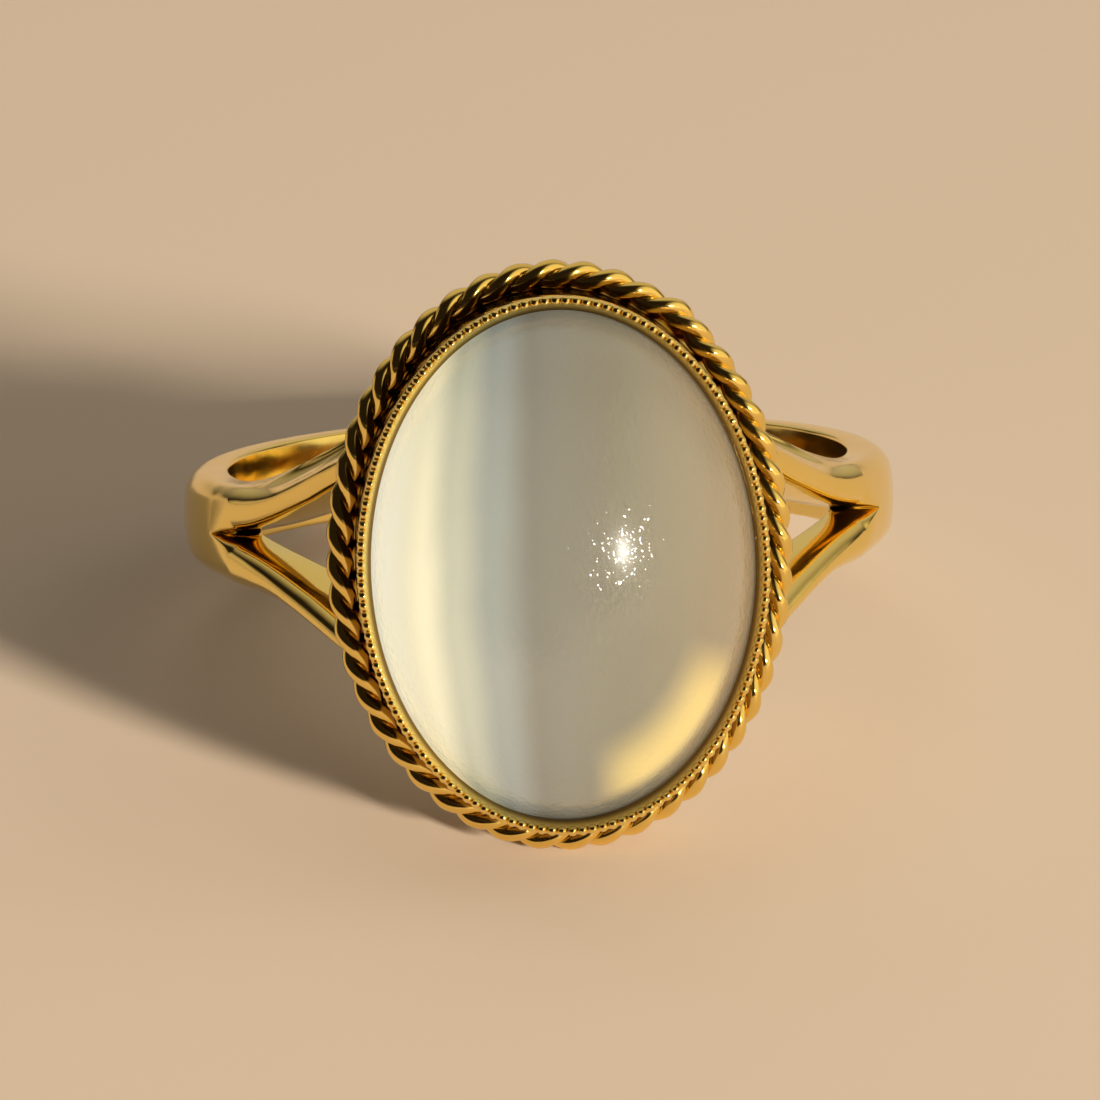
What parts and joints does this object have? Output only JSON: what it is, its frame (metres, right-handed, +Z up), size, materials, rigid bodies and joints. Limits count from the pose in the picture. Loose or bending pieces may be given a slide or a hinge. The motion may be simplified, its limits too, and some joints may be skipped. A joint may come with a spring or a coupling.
{
  "type": "cabochon ring",
  "caption": "Gold finger ring with a milky oval cabochon in a bezel, a twisted rope wire round it and split shoulders, lying on its side.",
  "frame": {"origin": "bottom centre of the bounding box, on the surface the ring lies on", "axes": "-Y is the side the stone faces, tipped up; +X runs across the finger; +Z is up, and the finger's axis leans back from it toward +Y"},
  "size_m": [0.0224, 0.0284, 0.0171],
  "materials": {
    "gold": "polished",
    "moonstone": "polished"
  },
  "bodies": {
    "root": {"ring_mount": "gold", "cabochon": "moonstone"}
  },
  "joints": []
}
